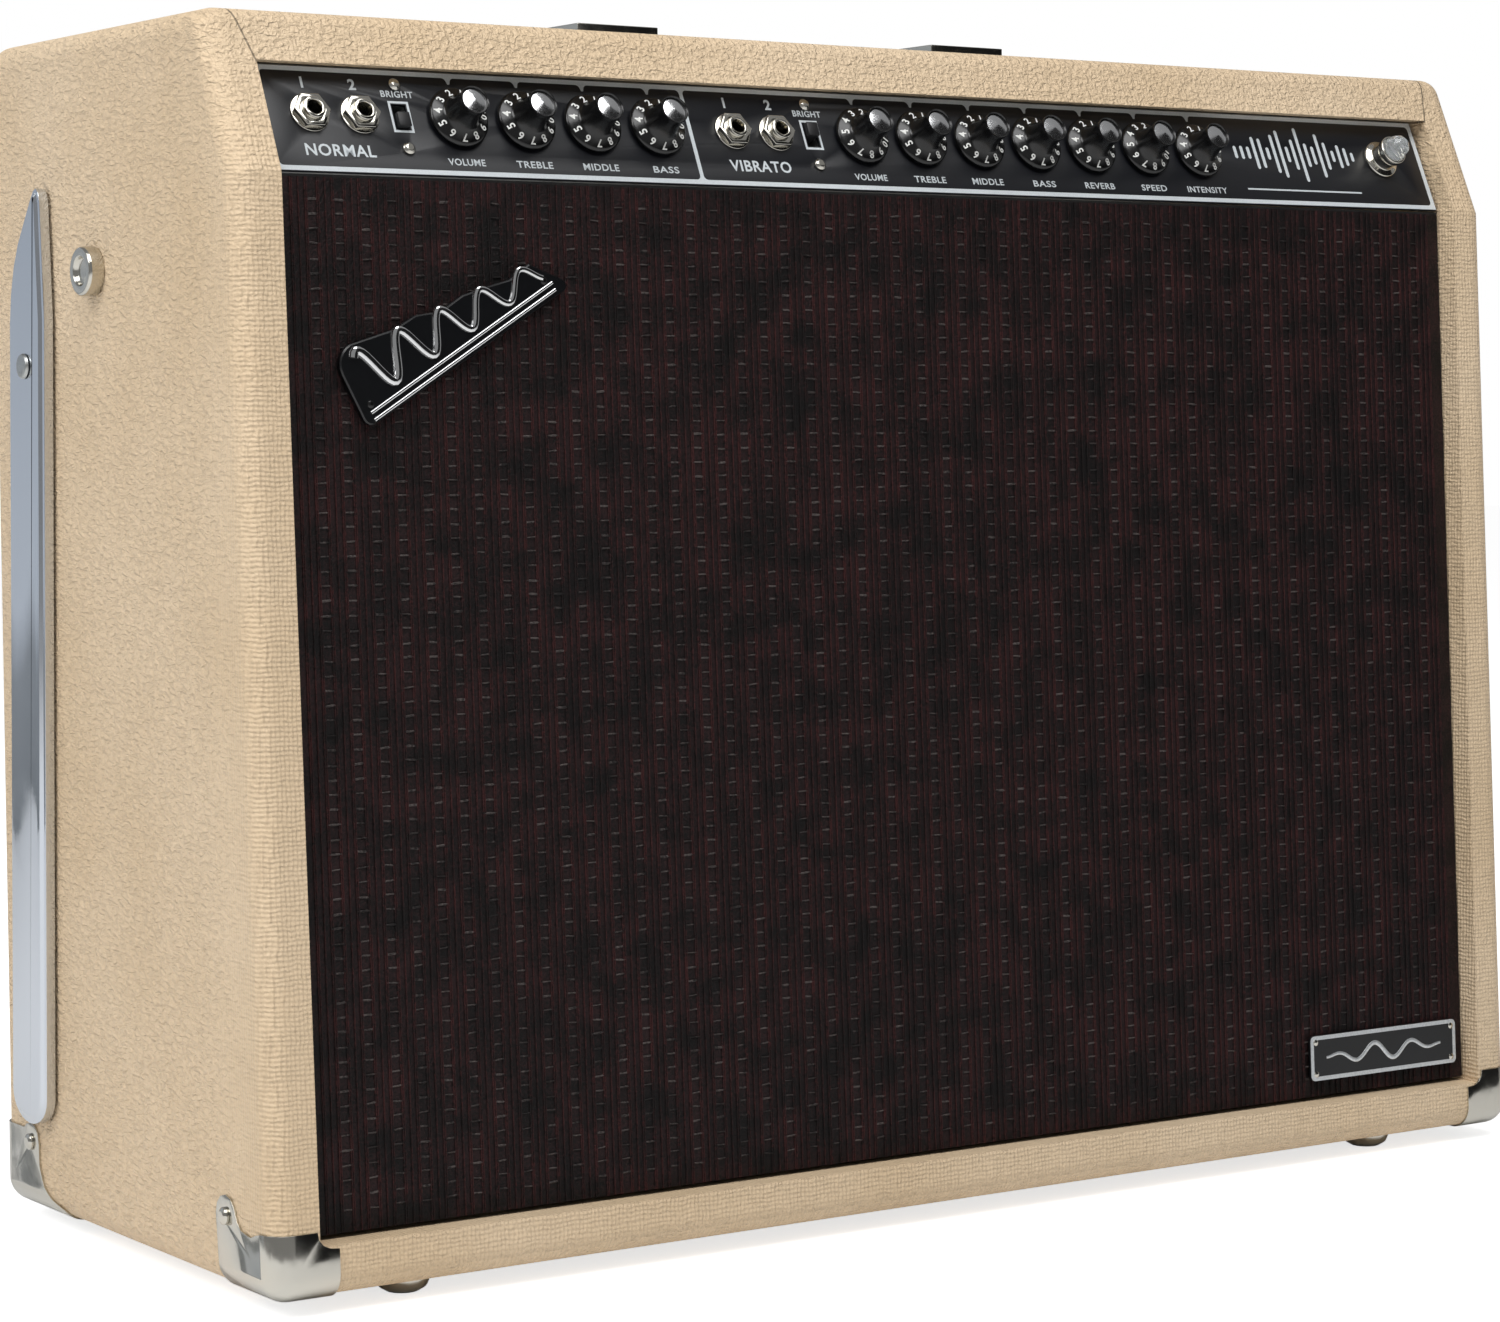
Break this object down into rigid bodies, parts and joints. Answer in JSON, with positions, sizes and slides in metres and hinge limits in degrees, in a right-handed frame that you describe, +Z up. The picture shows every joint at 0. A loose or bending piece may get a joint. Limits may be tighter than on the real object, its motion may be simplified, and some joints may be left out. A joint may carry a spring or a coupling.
{
  "type": "guitar amplifier",
  "caption": "Combo guitar amplifier: leaning vinyl-covered cabinet, sloped knob panel, woven grille, two speakers, open back and tilt-back side legs.",
  "frame": {"origin": "on the floor under the middle of the cabinet", "axes": "+Z up, +X to the right seen from the front, front faces -Y"},
  "size_m": [0.6906, 0.2653, 0.526],
  "materials": {
    "pine": "sawn pine, oiled by age",
    "blond_vinyl": "embossed rough-textured vinyl, satin",
    "grille_cloth": "woven grille cloth, matt",
    "nickel_plate": "nickel plate, polished",
    "chrome_plate": "chrome plate, polished",
    "zinc_steel": "zinc plated steel",
    "black_panel": "screen printed enamel, satin",
    "knob_abs": "moulded black, polished",
    "switch_nylon": "moulded black nylon",
    "jewel_glass": "faceted clear glass",
    "speaker_steel": "black powder coat",
    "magnet_cover": "black phosphate",
    "paper_cone": "pressed paper pulp",
    "treated_edge": "doped cloth",
    "spider_cloth": "resin-set cotton",
    "circuit_board": "glass-epoxy board with parts",
    "lead_jacket": "rubber jacket",
    "strap_rubber": "moulded black, grained",
    "moulded_black": "moulded black",
    "badge_black": "moulded black with bright raised lines"
  },
  "bodies": {
    "cabinet": {"side_panel_left": "pine", "side_panel_right": "pine", "bottom_panel": "pine", "top_panel": "pine", "vinyl_covering": "blond_vinyl", "corner_protectors": "nickel_plate", "glide_feet": "nickel_plate", "cabinet_battens": "pine", "lower_back_panel": "blond_vinyl", "upper_back_panel": "blond_vinyl", "baffle_board": "pine", "grille_cloth": "grille_cloth", "speaker_baskets": "speaker_steel", "speaker_magnets": "magnet_cover", "speaker_surrounds": "treated_edge", "speaker_spiders": "spider_cloth", "faceplate": "black_panel", "chassis": "zinc_steel", "input_jacks": "nickel_plate", "panel_screws": "nickel_plate", "pilot_lamp_holder": "nickel_plate", "pilot_jewel": "jewel_glass", "switch_bodies": "zinc_steel", "potentiometers": "zinc_steel", "panel_nuts": "nickel_plate", "rear_connectors": "moulded_black", "signal_board": "circuit_board", "power_amp_module": "circuit_board", "power_supply": "circuit_board", "handle_end_caps": "nickel_plate", "handle_strap_ends": "strap_rubber", "leg_pivot_screws": "zinc_steel", "leg_stops": "nickel_plate", "badge": "badge_black", "name_plate": "badge_black", "speaker_leads": "lead_jacket", "machine_bolts": "zinc_steel", "wood_screws": "nickel_plate"},
    "normal_volume_knob": {"knob_normal_volume": "knob_abs"},
    "normal_treble_knob": {"knob_normal_treble": "knob_abs"},
    "normal_middle_knob": {"knob_normal_middle": "knob_abs"},
    "normal_bass_knob": {"knob_normal_bass": "knob_abs"},
    "vibrato_volume_knob": {"knob_vibrato_volume": "knob_abs"},
    "vibrato_treble_knob": {"knob_vibrato_treble": "knob_abs"},
    "vibrato_middle_knob": {"knob_vibrato_middle": "knob_abs"},
    "vibrato_bass_knob": {"knob_vibrato_bass": "knob_abs"},
    "vibrato_reverb_knob": {"knob_vibrato_reverb": "knob_abs"},
    "vibrato_speed_knob": {"knob_vibrato_speed": "knob_abs"},
    "vibrato_intensity_knob": {"knob_vibrato_intensity": "knob_abs"},
    "normal_bright_slider": {"bright_slider_normal": "switch_nylon"},
    "vibrato_bright_slider": {"bright_slider_vibrato": "switch_nylon"},
    "left_leg": {"tilt_leg_left": "chrome_plate"},
    "right_leg": {"tilt_leg_right": "chrome_plate"},
    "left_cone": {"speaker_cone_left": "paper_cone"},
    "right_cone": {"speaker_cone_right": "paper_cone"},
    "grip": {"handle_grip": "strap_rubber"},
    "output_selector": {"output_selector_knob": "knob_abs"},
    "line_level": {"line_level_knob": "knob_abs"},
    "power_lever": {"power_toggle_lever": "chrome_plate"},
    "mute_lever": {"mute_toggle_lever": "chrome_plate"}
  },
  "joints": [
    {"name": "normal_volume_turn", "type": "hinge", "parent": "cabinet", "child": "normal_volume_knob", "pos_m": [-0.2252, -0.08823, 0.47444], "axis": [0, 0.91, -0.4147], "range_deg": [-12.6, 270.9]},
    {"name": "normal_treble_turn", "type": "hinge", "parent": "cabinet", "child": "normal_treble_knob", "pos_m": [-0.1931, -0.08823, 0.47444], "axis": [0, 0.91, -0.4147], "range_deg": [-12.6, 270.9]},
    {"name": "normal_middle_turn", "type": "hinge", "parent": "cabinet", "child": "normal_middle_knob", "pos_m": [-0.161, -0.08823, 0.47444], "axis": [0, 0.91, -0.4147], "range_deg": [-12.6, 270.9]},
    {"name": "normal_bass_turn", "type": "hinge", "parent": "cabinet", "child": "normal_bass_knob", "pos_m": [-0.1289, -0.08823, 0.47444], "axis": [0, 0.91, -0.4147], "range_deg": [-12.6, 270.9]},
    {"name": "vibrato_volume_turn", "type": "hinge", "parent": "cabinet", "child": "vibrato_volume_knob", "pos_m": [-0.0226, -0.08823, 0.47444], "axis": [0, 0.91, -0.4147], "range_deg": [-37.8, 245.7]},
    {"name": "vibrato_treble_turn", "type": "hinge", "parent": "cabinet", "child": "vibrato_treble_knob", "pos_m": [0.0095, -0.08823, 0.47444], "axis": [0, 0.91, -0.4147], "range_deg": [-12.6, 270.9]},
    {"name": "vibrato_middle_turn", "type": "hinge", "parent": "cabinet", "child": "vibrato_middle_knob", "pos_m": [0.0416, -0.08823, 0.47444], "axis": [0, 0.91, -0.4147], "range_deg": [-12.6, 270.9]},
    {"name": "vibrato_bass_turn", "type": "hinge", "parent": "cabinet", "child": "vibrato_bass_knob", "pos_m": [0.0737, -0.08823, 0.47444], "axis": [0, 0.91, -0.4147], "range_deg": [-12.6, 270.9]},
    {"name": "vibrato_reverb_turn", "type": "hinge", "parent": "cabinet", "child": "vibrato_reverb_knob", "pos_m": [0.1058, -0.08823, 0.47444], "axis": [0, 0.91, -0.4147], "range_deg": [-12.6, 270.9]},
    {"name": "vibrato_speed_turn", "type": "hinge", "parent": "cabinet", "child": "vibrato_speed_knob", "pos_m": [0.1379, -0.08823, 0.47444], "axis": [0, 0.91, -0.4147], "range_deg": [-37.8, 245.7]},
    {"name": "vibrato_intensity_turn", "type": "hinge", "parent": "cabinet", "child": "vibrato_intensity_knob", "pos_m": [0.17, -0.08823, 0.47444], "axis": [0, 0.91, -0.4147], "range_deg": [-12.6, 270.9]},
    {"name": "normal_bright_slide", "type": "slide", "parent": "cabinet", "child": "normal_bright_slider", "axis": [0, 0.4147, 0.91], "range_m": [0, 0.004]},
    {"name": "vibrato_bright_slide", "type": "slide", "parent": "cabinet", "child": "vibrato_bright_slider", "axis": [0, -0.4147, -0.91], "range_m": [0, 0.004]},
    {"name": "left_leg_swing", "type": "hinge", "parent": "cabinet", "child": "left_leg", "pos_m": [-0.3405, 0.079, 0.376], "axis": [1, 0, 0], "range_deg": [0, 34.5]},
    {"name": "right_leg_swing", "type": "hinge", "parent": "cabinet", "child": "right_leg", "pos_m": [0.3405, 0.079, 0.376], "axis": [1, 0, 0], "range_deg": [0, 34.5]},
    {"name": "left_cone_travel", "type": "slide", "parent": "cabinet", "child": "left_cone", "axis": [0, -0.9987, 0.0506], "range_m": [-0.002, 0.002], "stiffness_N_per_m": 7500, "deforming": ["speaker_surrounds", "speaker_spiders"]},
    {"name": "right_cone_travel", "type": "slide", "parent": "cabinet", "child": "right_cone", "axis": [0, -0.9987, 0.0506], "range_m": [-0.002, 0.002], "stiffness_N_per_m": 7500},
    {"name": "handle_lift", "type": "slide", "parent": "cabinet", "child": "grip", "axis": [0, 0, 1], "range_m": [0, 0.02], "deforming": ["handle_strap_ends"]},
    {"name": "output_selector_turn", "type": "hinge", "parent": "cabinet", "child": "output_selector", "pos_m": [0.15, 0.11, 0.47279], "axis": [0, -1, 0], "range_deg": [0, 150]},
    {"name": "line_level_turn", "type": "hinge", "parent": "cabinet", "child": "line_level", "pos_m": [-0.06, 0.11, 0.47279], "axis": [0, -1, 0], "range_deg": [0, 270]},
    {"name": "power_toggle", "type": "hinge", "parent": "cabinet", "child": "power_lever", "pos_m": [0.195, 0.11, 0.47279], "axis": [-1, 0, 0], "range_deg": [0, 28]},
    {"name": "mute_toggle", "type": "hinge", "parent": "cabinet", "child": "mute_lever", "pos_m": [0.105, 0.11, 0.47279], "axis": [-1, 0, 0], "range_deg": [0, 28]}
  ]
}
